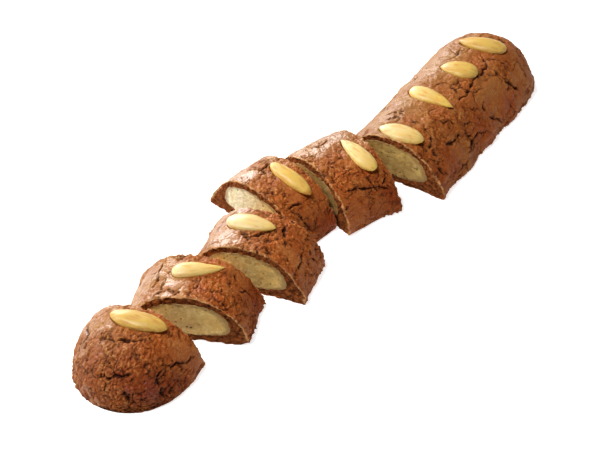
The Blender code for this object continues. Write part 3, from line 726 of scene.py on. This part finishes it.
def faceRings(rim, x0, side):  # from the skin's edge in to the paste
    steps = crust["faceSteps"]
    share = np.concatenate(([0.02, 0.06], np.linspace(0.12, 1, steps)))[:, None]
    theta = np.arctan2(rim[:, 2] - paste["side"], rim[:, 1])
    flat = rim * (1 - share[..., None]) + pasteRing(theta, x0, 0.0) * share[..., None]
    flat[..., 0] = x0
    y, z = flat[..., 1], flat[..., 2]
    bumps = layeredNoise(flat, 0.0023, 521 + side) * 0.8
    _, crumbBorder, crumbCell = cells(drift(flat, 0.0012, 0.0004, 531), 0.0015, 541 + side)
    seams = hill(crumbBorder, 0.00018)
    holeReach, _, holeCell = cells(flat, 0.0021, 551 + side)
    holes = hill(holeReach, 0.00046) * (holeCell % 5 < 2)
    bumps = bumps + 0.8 * ((crumbCell % 7) / 7 - 0.5)
    height = crust["cutRelief"] * (bumps - 0.5 * seams) - crust["cutHoleDepth"] * holes
    height *= smoothStep(0, 0.12, share)
    inward = smoothStep(0, 0.3, share)
    x = rim[:, 0] * (1 - inward) + x0 * inward
    x += side * (height - 0.00010 * smoothStep(0.05, 0.3, share))
    out = np.stack((x, y, np.maximum(z, 0.0)), -1)
    # painted shade in the holes and along the crumb seams
    paintedShade = np.clip(0.55 * holes + 0.35 * seams, 0, 1)
    cut = np.broadcast_to(smoothStep(0.0, 0.05, share), y.shape)
    # painted highlight along the face's outer edge, broken up by noise
    highlightShare = smoothStep(-0.60, 0.05, softNoise(flat, 0.0032, 519))
    edge = highlightShare * hill(share, 0.065) * (z > 0.0012)
    none = np.zeros_like(y)
    return out, np.stack((paintedShade, cut, edge, none, none, bumps, none, none + 1, none), -1)


def channelRings(rim, xs):  # the crust's own wall round the paste, unseen but for its mouth
    theta = np.arctan2(rim[:, 2] - paste["side"], rim[:, 1])
    rings = closingRings(theta, xs, 0.0)
    marks = np.zeros(rings.shape[:2] + (len(crustMarks),))
    marks[..., cutColumn] = 1.0
    return rings, marks


def pocketStations(start, end):  # from the mouth of a rounded end's pocket to its bottom, or back
    inner = paste["endReach"] * (1 - np.cos(np.linspace(0.08, pi / 2, 9)))
    if start == 0:
        return np.concatenate((paste["start"] + inner[:-1], [end - crust["mouth"]]))[::-1]
    return np.concatenate(([start + crust["mouth"]], paste["end"] - inner[::-1][1:]))[::-1]


def crustMesh(piece):
    name, start, end = piece[:3]
    skin, marks = skinRings(start, end)
    blocks = [(skin, marks)]
    if end < bar["length"]:
        blocks.append(faceRings(skin[-1], end, 1))
    if start > 0:
        blocks.insert(0, [block[::-1] for block in faceRings(skin[0], start, -1)])
    closed = start > 0 and end < bar["length"]
    through = np.linspace(end - crust["mouth"], start + crust["mouth"], 6)
    xs = through if closed else pocketStations(start, end)
    channel = channelRings(skin[0 if start > 0 else -1], xs)
    blocks.insert(0 if end == bar["length"] else len(blocks), channel)
    rings, marks = map(np.concatenate, zip(*blocks))
    return weave("crust_" + name, rings, marks, closed, crustMarks)


def pasteFace(name, theta, x0, side):  # rings from the middle of a cut face out to its rim
    steps = paste["faceSteps"]
    share = np.concatenate((np.linspace(0.03, 0.97, steps), [1.0]))[:, None]
    flat = pasteRing(theta, x0, paste["overlap"], share)
    y, z = flat[..., 1], flat[..., 2]
    pitReach, _, pitCell = cells(drift(flat, 0.001, 0.0003, 601), 0.0023, 611 + side)
    pits = hill(pitReach, 0.00042 + 0.00005 * (pitCell % 5)) * (pitCell % 2 == 0)
    pits = smoothStep(0.30, 0.75, pits)
    grainReach, _, grainCell = cells(flat, 0.0013, 621 + side)
    grain = hill(grainReach, 0.0005) * ((grainCell % 9) / 9 - 0.35)
    height = paste["grain"] * (0.9 * layeredNoise(flat, 0.0052, 631 + side) + 0.7 * grain)
    height += paste["fineGrain"] * layeredNoise(flat, 0.0013, 641 + side) - paste["pitDepth"] * pits
    height += paste["crown"] * (1 - share**2) - paste["sink"]
    ringed = share + 0.06 * softNoise(flat, 0.0035, 651) + 0.04 * softNoise(flat, 0.0013, 661)
    # the stained rim wider towards -Y: painted shade
    ringed = ringed + 0.06 * smoothStep(0.0, -0.018, y)
    # painted shade: browner all over where a neighbour shades the face
    gapShade = paste["gapShade"].get(name, 0.0)
    stain = gapShade + (1 - gapShade) * smoothStep(0.84, 0.99, ringed)
    patch = smoothStep(-0.05, 0.55, layeredNoise(drift(flat, 0.003, 0.0012, 681), 0.0042, 691 + side))
    stain = 1 - (1 - stain) * (1 - paste["mottle"][name] * patch)
    moist = smoothStep(-0.3, 0.9, layeredNoise(flat, 0.0075, 671 + side))
    tone = np.full_like(y, paste["tone"][name])
    # painted highlight towards the +Y side, on the faces that look towards -X
    paleHighlight = paste["paleHighlight"].get(name, 0.0) * smoothStep(-0.015, 0.010, y) * (side < 0)
    return np.stack((x0 + side * height, y, z), -1), np.stack((pits, stain, moist, tone, paleHighlight), -1)


def pasteMesh(piece):
    name, start, end = piece[:3]
    theta = np.linspace(0, tau, paste["around"], endpoint=False)
    rounded = start == 0 or end == bar["length"]
    xs = pocketStations(start, end)[::-1] if rounded else np.linspace(start + 0.0008, end - 0.0008, 8)
    side = closingRings(theta, xs, -paste["inset"])
    blocks = [(side, np.ones(side.shape[:2] + (5,)) * (0, 0, 0, 1, 0))]
    if start > 0:
        blocks.insert(0, pasteFace(name, theta, start, -1))
    if end < bar["length"]:
        blocks.append([block[::-1] for block in pasteFace(name, theta, end, 1)])
    rings, marks = map(np.concatenate, zip(*blocks))
    return weave("filling_" + name, rings, marks, False, ("pitShade", "stain", "moist", "tone", "paleHighlight"))


def almondMesh(number, row):
    length, width, _, _, blunt, tip = row[2:]
    share = -np.cos(np.linspace(0, pi, almond["rings"] + 2)[1:-1])[:, None]
    around = np.linspace(0, tau, almond["around"], endpoint=False)[None]
    half = almondHalf(share, blunt, tip)
    side = signedPower(np.cos(around), 2 / almond["power"])
    top = signedPower(np.sin(around), 2 / almond["power"])
    bend = almond["bend"] * math.sin(number * 2.1) * np.sin(share * 2.2) * (1 - share**2)
    x = share * length / 2 + 0 * side
    y = side * half * width / 2 + bend
    z = top * half * almond["thickness"] / 2
    lengthwise = np.stack((x * 0.16, y, z), -1)
    ridge = softNoise(lengthwise, 0.00115, 700 + number) + 0.6 * softNoise(lengthwise, 0.00055, 720 + number)
    lump = softNoise(np.stack((x, y, z), -1), 0.006, 740 + number)
    out = almond["groove"] * ridge * smoothStep(1.0, 0.75, np.abs(share)) + almond["lump"] * lump
    push = np.stack((0 * x, side * np.ones_like(x), top * np.ones_like(x)), -1)
    push /= np.linalg.norm(push, axis=-1)[..., None]
    points = np.stack((x, y, z), -1) + push * (out * half**0.5)[..., None]
    place = np.array(almondPlace(row))
    points = points @ place[:3, :3].T + place[:3, 3]
    # golden share: each almond's own toasting, with painted light making the +Y end creamier and painted
    # shade making the lower sides more golden
    toastAndShadingShare = 0.5 - points[..., 1] / 0.024 + almond["toastAndShading"][number - 1]
    toastAndShadingShare = toastAndShadingShare + 0.35 * (1 - smoothStep(0.0, 0.75, top))
    tipMark = almond["tipBrown"][number - 1] * smoothStep(0.72, 0.95, share) + 0 * x
    streaks = ridge * almond["streaky"][number - 1]
    marks = np.stack((toastAndShadingShare, np.full_like(x, almond["tone"][number - 1]), streaks, tipMark), -1)
    return weave(f"almond_{number}", points, marks, False, ("toastAndShading", "tone", "ridge", "tip"))


def addNode(tree, kind, **settings):  # nodes stand in rows of ten, in the order they are made
    node = tree.nodes.new(kind)
    row, column = divmod(len(tree.nodes), 10)
    node.location = (190 * column, -280 * row)
    for key, value in settings.items():
        setattr(node, key, value)
    return node


def feed(tree, socket, value):  # gives a socket a link, a colour or a number
    if isinstance(value, bpy.types.NodeSocket):
        tree.links.new(value, socket)
    elif isinstance(value, tuple):
        socket.default_value = (*value, 1.0)
    else:
        socket.default_value = value


def calculate(tree, operation, *values, clamp=False):
    node = addNode(tree, "ShaderNodeMath", operation=operation, use_clamp=clamp)
    for socket, value in zip(node.inputs, values):
        feed(tree, socket, value)
    return node.outputs[0]


def noiseField(tree, place, scale, roughness=0.5):
    node = addNode(tree, "ShaderNodeTexNoise")
    for key, value in (("Vector", place), ("Scale", scale), ("Detail", 3.0), ("Roughness", roughness)):
        feed(tree, node.inputs[key], value)
    return node.outputs["Fac"]


def blendColour(tree, share, a, b, kind="MIX"):  # mixes two colours or sockets
    node = addNode(tree, "ShaderNodeMix", data_type="RGBA", blend_type=kind)
    for place, value in ((0, share), (6, a), (7, b)):
        feed(tree, node.inputs[place], value)
    return node.outputs[2]


def fitRange(tree, value, low, high, toLow, toHigh):
    node = addNode(tree, "ShaderNodeMapRange")
    for place, number in enumerate((value, low, high, toLow, toHigh)):
        feed(tree, node.inputs[place], number)
    return node.outputs["Result"]


def tinted(tree, colour, mask, strength, tint):
    return blendColour(tree, calculate(tree, "MULTIPLY", mask, strength), colour, tint)


def addBump(tree, shader, height, strength, distance):
    bump = addNode(tree, "ShaderNodeBump")
    for key, value in (("Strength", strength), ("Distance", distance), ("Height", height)):
        feed(tree, bump.inputs[key], value)
    feed(tree, shader["Normal"], bump.outputs["Normal"])


def group(name, inputs, output):  # an empty node group: its tree, what it is given, and its result
    tree = bpy.data.node_groups.new(name, "ShaderNodeTree")
    for label, value in inputs.items():
        kind = "NodeSocketVector" if value is None else "NodeSocketFloat"
        socket = tree.interface.new_socket(name=label, in_out="INPUT", socket_type=kind)
        if value is not None:
            socket.default_value = value
    tree.interface.new_socket(name=output, in_out="OUTPUT", socket_type="NodeSocketFloat")
    return tree, addNode(tree, "NodeGroupInput").outputs, addNode(tree, "NodeGroupOutput").inputs[output]


def toneDriftGroup():  # slow changes of tone over the surface, from 0 to 1
    tree, given, result = group("toneDrift", {"Place": None, "Scale": 80.0, "Contrast": 2.0}, "Tone")
    field = noiseField(tree, given["Place"], given["Scale"], 0.55)
    centred = calculate(tree, "SUBTRACT", field, 0.5)
    stretched = calculate(tree, "MULTIPLY", centred, given["Contrast"])
    feed(tree, result, calculate(tree, "ADD", stretched, 0.5, clamp=True))
    return tree


def speckGroup():  # small scattered specks, 1 on a speck
    inputs = {"Place": None, "Scale": 700.0, "Size": 0.16, "Share": 0.3}
    tree, given, result = group("specks", inputs, "Speck")
    field = addNode(tree, "ShaderNodeTexVoronoi")
    feed(tree, field.inputs["Vector"], given["Place"])
    feed(tree, field.inputs["Scale"], given["Scale"])
    split = addNode(tree, "ShaderNodeSeparateColor")
    feed(tree, split.inputs["Color"], field.outputs["Color"])
    near = calculate(tree, "LESS_THAN", field.outputs["Distance"], given["Size"])
    chosen = calculate(tree, "LESS_THAN", split.outputs["Red"], given["Share"])
    feed(tree, result, calculate(tree, "MULTIPLY", near, chosen))
    return tree


def grainGroup():  # a fine height field for bump, two sizes of grain
    inputs = {"Place": None, "Coarse Scale": 900.0, "Fine Scale": 2600.0, "Fine Share": 0.4}
    tree, given, result = group("grain", inputs, "Height")
    coarse = noiseField(tree, given["Place"], given["Coarse Scale"])
    fine = noiseField(tree, given["Place"], given["Fine Scale"])
    mix = addNode(tree, "ShaderNodeMix")
    for place, value in ((0, given["Fine Share"]), (2, coarse), (3, fine)):
        feed(tree, mix.inputs[place], value)
    feed(tree, result, mix.outputs[0])
    return tree


toneDrift, specks, grain = toneDriftGroup(), speckGroup(), grainGroup()


def useGroup(tree, which, place, **values):
    node = addNode(tree, "ShaderNodeGroup", node_tree=which)
    feed(tree, node.inputs["Place"], place)
    for key, value in values.items():
        feed(tree, node.inputs[key.replace("_", " ")], value)
    return node.outputs[0]


def mark(tree, name):
    return addNode(tree, "ShaderNodeAttribute", attribute_name=name).outputs["Fac"]


def startMaterial(name, fixed):  # the material, its tree, its shader's sockets and the surface's place
    material = bpy.data.materials.new(name)
    material.use_nodes = True
    tree = material.node_tree
    shader = tree.nodes["Principled BSDF"].inputs
    for key, value in fixed.items():
        shader[key].default_value = value
    return material, tree, shader, addNode(tree, "ShaderNodeTexCoord").outputs["Object"]


crustLook = {
    "skin": (0.490, 0.128, 0.022),
    "skinPale": (0.640, 0.250, 0.064),
    "skinDark": (0.270, 0.055, 0.007),
    "crumb": (0.740, 0.200, 0.029),
    "crumbDark": (0.270, 0.050, 0.006),
    # tan: painted highlight on the highest crumbs
    "ridge": (0.800, 0.370, 0.110),
    "russet": (0.400, 0.072, 0.009),
    "caramel": (0.460, 0.080, 0.008),
    # near black: painted shade in recesses, and the dark flecks of a cut face
    "crack": (0.040, 0.008, 0.002),
    "cutDark": (0.065, 0.012, 0.002),
    "cutLight": (0.430, 0.118, 0.026),
    # tan painted highlight: along cut edges and on the glint specks
    "edge": (0.720, 0.370, 0.140),
    "sheenTint": (0.77, 1.12, 1.23),  # what the +Y side's colour is multiplied by: a painted sheen
    "scorchAndShade": (0.75, 0.48, 0.32),  # the same for the scorched spots, which also carry painted shade
}


def crustMaterial():
    fixed = {"IOR": 1.46, "Specular IOR Level": 0.22, "Specular Tint": (1.0, 0.87, 0.68, 1.0),
             "Coat Roughness": 0.34, "Coat IOR": 1.5}
    material, tree, shader, place = startMaterial("bakedCrust", fixed)
    look = crustLook
    slow = useGroup(tree, toneDrift, place, Scale=60.0, Contrast=2.6)
    baked = useGroup(tree, toneDrift, place, Scale=105.0, Contrast=4.5)
    broad = useGroup(tree, toneDrift, place, Scale=120.0, Contrast=3.4)
    quick = useGroup(tree, toneDrift, place, Scale=850.0, Contrast=3.4)
    fine = useGroup(tree, toneDrift, place, Scale=1500.0, Contrast=5.0)
    dots = useGroup(tree, specks, place, Scale=800.0, Size=0.26, Share=0.28)
    # pale specks: painted glints
    paleHighlight = useGroup(tree, specks, place, Scale=640.0, Size=0.22, Share=0.08)
    crack, cut, rim, skin, shine, swell, glow, tone, sheenTint = (mark(tree, name) for name in crustMarks)
    # painted light and shade by height: the tops of lumps lighter, the hollows darker, with some random tone
    reliefLight = blendColour(tree, 0.35, fitRange(tree, swell, -0.75, 0.65, 0.0, 1.0), quick)

    smooth = blendColour(tree, reliefLight, look["skinDark"], look["skinPale"])
    smooth = blendColour(tree, 0.45, smooth, look["skin"])
    smooth = tinted(tree, smooth, broad, 0.35, look["skinPale"])
    crumbly = blendColour(tree, reliefLight, look["crumbDark"], look["crumb"])
    crumbly = tinted(tree, crumbly, slow, 0.35, look["skin"])
    crumbly = blendColour(tree, fitRange(tree, reliefLight, 0.56, 0.94, 0.0, 0.80), crumbly, look["ridge"])
    colour = blendColour(tree, skin, crumbly, smooth)
    stains = ((baked, 0.55, "russet"), (fine, 0.42, "skinDark"), (dots, 0.40, "crumbDark"),
              (paleHighlight, 0.35, "edge"), (glow, 0.75, "caramel"))
    for mask, strength, stain in stains:
        colour = tinted(tree, colour, mask, strength, look[stain])
    colour = blendColour(tree, 1.0, colour, tone, "MULTIPLY")
    # painted sheen on the +Y side
    colour = blendColour(tree, sheenTint, colour, look["sheenTint"], "MULTIPLY")
    # darker and redder on the scorched spots: partly scorching, partly painted shade
    scorchAndShade = calculate(tree, "MULTIPLY", sheenTint, -1.0)
    colour = blendColour(tree, scorchAndShade, colour, look["scorchAndShade"], "MULTIPLY")

    # the cut face likewise: painted shade in its hollows, lighter on its bumps
    face = blendColour(tree, reliefLight, look["cutDark"], look["cutLight"])
    face = tinted(tree, face, dots, 0.7, look["crack"])
    colour = blendColour(tree, cut, colour, face)
    # painted highlight along the cut edges
    highlightStrength = fitRange(tree, quick, 0.1, 0.7, 0.5, 1.0)
    colour = tinted(tree, colour, rim, highlightStrength, look["edge"])
    # painted shade: near black in cracks, pores, pits, creases, fold valleys, round the almonds and in the
    # cut faces' holes
    colour = blendColour(tree, fitRange(tree, crack, 0.08, 0.75, 0.0, 0.96), colour, look["crack"])
    feed(tree, shader["Base Color"], colour)

    coat = blendColour(tree, glow, shine, (0.5, 0.5, 0.5))
    feed(tree, shader["Coat Weight"], blendColour(tree, cut, coat, (0.0, 0.0, 0.0)))
    rough = blendColour(tree, cut, fitRange(tree, quick, 0.0, 1.0, 0.44, 0.66), (0.9, 0.9, 0.9))
    feed(tree, shader["Roughness"], blendColour(tree, crack, rough, (0.9, 0.9, 0.9)))
    height = useGroup(tree, grain, place, Coarse_Scale=750.0, Fine_Scale=2300.0, Fine_Share=0.35)
    addBump(tree, shader, height, fitRange(tree, skin, 0.0, 1.0, 1.0, 0.75), 0.0008)
    return material


pasteLook = {
    "cream": (0.990, 0.770, 0.272),
    # painted highlight colour
    "paleHighlight": (0.930, 0.860, 0.600),
    "tan": (0.640, 0.375, 0.090),
    "stain": (0.300, 0.150, 0.045),
    "pitShade": (0.100, 0.040, 0.010),
}


def pasteMaterial():
    fixed = {"Subsurface Weight": 0.25, "Subsurface Radius": (0.0016, 0.0011, 0.0006),
             "Subsurface Scale": 1.0, "IOR": 1.45, "Specular IOR Level": 0.4}
    material, tree, shader, place = startMaterial("almondPaste", fixed)
    look = pasteLook
    slow = useGroup(tree, toneDrift, place, Scale=330.0, Contrast=3.0)
    quick = useGroup(tree, toneDrift, place, Scale=900.0, Contrast=4.0)
    dots = useGroup(tree, specks, place, Scale=520.0, Size=0.24, Share=0.30)
    light = blendColour(tree, 0.5, mark(tree, "moist"), slow)
    colour = blendColour(tree, light, look["tan"], look["cream"])
    # painted highlight towards the +Y side
    colour = blendColour(tree, mark(tree, "paleHighlight"), colour, look["paleHighlight"])
    colour = blendColour(tree, 1.0, colour, mark(tree, "tone"), "MULTIPLY")
    stains = ((quick, 0.50, "tan"), (mark(tree, "stain"), 0.75, "stain"), (dots, 0.30, "stain"))
    for mask, strength, stain in stains:
        colour = tinted(tree, colour, mask, strength, look[stain])
    # painted shade: near black in the pits
    pitShade = fitRange(tree, mark(tree, "pitShade"), 0.2, 1.0, 0.0, 0.85)
    feed(tree, shader["Base Color"], blendColour(tree, pitShade, colour, look["pitShade"]))
    feed(tree, shader["Roughness"], fitRange(tree, quick, 0.0, 1.0, 0.5, 0.72))
    height = useGroup(tree, grain, place, Coarse_Scale=1100.0, Fine_Scale=3200.0, Fine_Share=0.4)
    addBump(tree, shader, height, 0.5, 0.0003)
    return material


almondLook = {
    "cream": (0.86, 0.69, 0.36),
    "gold": (0.93, 0.590, 0.125),
    "toast": (0.62, 0.27, 0.040),
    "streak": (0.78, 0.38, 0.08),
}


def almondMaterial():
    fixed = {"Subsurface Weight": 0.4, "Subsurface Radius": (0.004, 0.0026, 0.0010),
             "Subsurface Scale": 1.0, "IOR": 1.48, "Specular IOR Level": 0.45}
    material, tree, shader, place = startMaterial("blanchedAlmond", fixed)
    look = almondLook
    slow = useGroup(tree, toneDrift, place, Scale=170.0, Contrast=1.6)
    # toasting, with painted light and shade
    toastAndShading = fitRange(tree, mark(tree, "toastAndShading"), 0.0, 1.6, -0.25, 1.0)
    golden = calculate(tree, "MULTIPLY_ADD", slow, 0.45, toastAndShading, clamp=True)
    colour = blendColour(tree, golden, look["cream"], look["gold"])
    streak = fitRange(tree, mark(tree, "ridge"), -0.15, -0.9, 0.0, 0.65)
    colour = blendColour(tree, streak, colour, look["streak"])
    colour = blendColour(tree, mark(tree, "tip"), colour, look["toast"])
    feed(tree, shader["Base Color"], blendColour(tree, 1.0, colour, mark(tree, "tone"), "MULTIPLY"))
    feed(tree, shader["Roughness"], fitRange(tree, slow, 0.0, 1.0, 0.30, 0.44))
    height = useGroup(tree, grain, place, Coarse_Scale=600.0, Fine_Scale=2400.0, Fine_Share=0.3)
    addBump(tree, shader, height, 0.25, 0.0002)
    return material


studio = {
    "cameraPlace": (-0.53668, -0.32843, 0.54765),
    "cameraAim": (-0.01316, 0.00195, 0.0),
    "lens": 102.88,
    "sensor": 36.0,
    "worldLight": 0.18,
    "floor": (0.86, 0.86, 0.855),
    "floorGlow": 0.30,  # what it adds to the light on the food
    "floorPaleness": 0.72,  # how bright it is to the eye
    "lights": (  # name, azimuth and elevation in degrees, distance, width, height, power
        ("leftLight", 112, 34, 1.45, 0.45, 0.35, 8.5),
        ("backLight", 57, 22, 1.60, 0.80, 0.80, 23.0),
        ("topLight", 140, 66, 1.50, 0.40, 0.40, 14.0),
    ),
}


def buildStudio():
    scene = bpy.context.scene
    scene.view_settings.view_transform = "Standard"
    world = bpy.data.worlds.new("studioWorld")
    world.use_nodes = True
    background = world.node_tree.nodes["Background"].inputs
    background["Color"].default_value = (1.0, 1.0, 1.0, 1.0)
    background["Strength"].default_value = studio["worldLight"]
    scene.world = world

    data = bpy.data.cameras.new("studioCamera")
    data.lens = studio["lens"]
    data.sensor_width = studio["sensor"]
    data.clip_start = 0.01
    camera = bpy.data.objects.new("studioCamera", data)
    camera.location = studio["cameraPlace"]
    aim = Vector(studio["cameraAim"]) - camera.location
    camera.rotation_euler = aim.to_track_quat("-Z", "Y").to_euler()
    scene.collection.objects.link(camera)
    scene.camera = camera

    for name, azimuth, elevation, distance, width, height, power in studio["lights"]:
        light = bpy.data.lights.new(name, "AREA")
        light.shape = "RECTANGLE"
        light.size, light.size_y = width, height
        light.energy = power
        lamp = bpy.data.objects.new(name, light)
        lift = Matrix.Rotation(math.radians(-elevation), 3, "Y")
        turn = Matrix.Rotation(math.radians(azimuth), 3, "Z") @ lift
        lamp.location = turn @ Vector((distance, 0, 0))
        lamp.rotation_euler = (-lamp.location).to_track_quat("-Z", "Y").to_euler()
        scene.collection.objects.link(lamp)

    bpy.ops.mesh.primitive_plane_add(size=12.0, location=(0, 0, -0.0002))
    floor = bpy.context.object
    floor.name = "floor"
    fixed = {"Base Color": (*studio["floor"], 1.0), "Emission Color": (1.0, 1.0, 1.0, 1.0), "Roughness": 0.75}
    material, tree, shader, _ = startMaterial("paleFloor", fixed)
    seen = addNode(tree, "ShaderNodeLightPath").outputs["Is Camera Ray"]
    glow = fitRange(tree, seen, 0.0, 1.0, studio["floorGlow"], studio["floorPaleness"])
    feed(tree, shader["Emission Strength"], glow)
    floor.data.materials.append(material)


buildStudio()
print("studio ready")

bakedCrust, almondPaste, blanchedAlmond = crustMaterial(), pasteMaterial(), almondMaterial()
print("materials ready")
for piece in pieces:
    name, start, end = piece[:3]
    addPiece("crustShell_" + name, crustMesh(piece), piece, "crust_" + name, bakedCrust)
    addPiece("pasteBody_" + name, pasteMesh(piece), piece, "filling_" + name, almondPaste)
    for number, row in enumerate(almonds, 1):
        if start < row[0] < end:
            kernel = almondMesh(number, row)
            addPiece(f"kernel_{number}", kernel, piece, f"almond_{number}", blanchedAlmond)
    print("piece ready:", name)
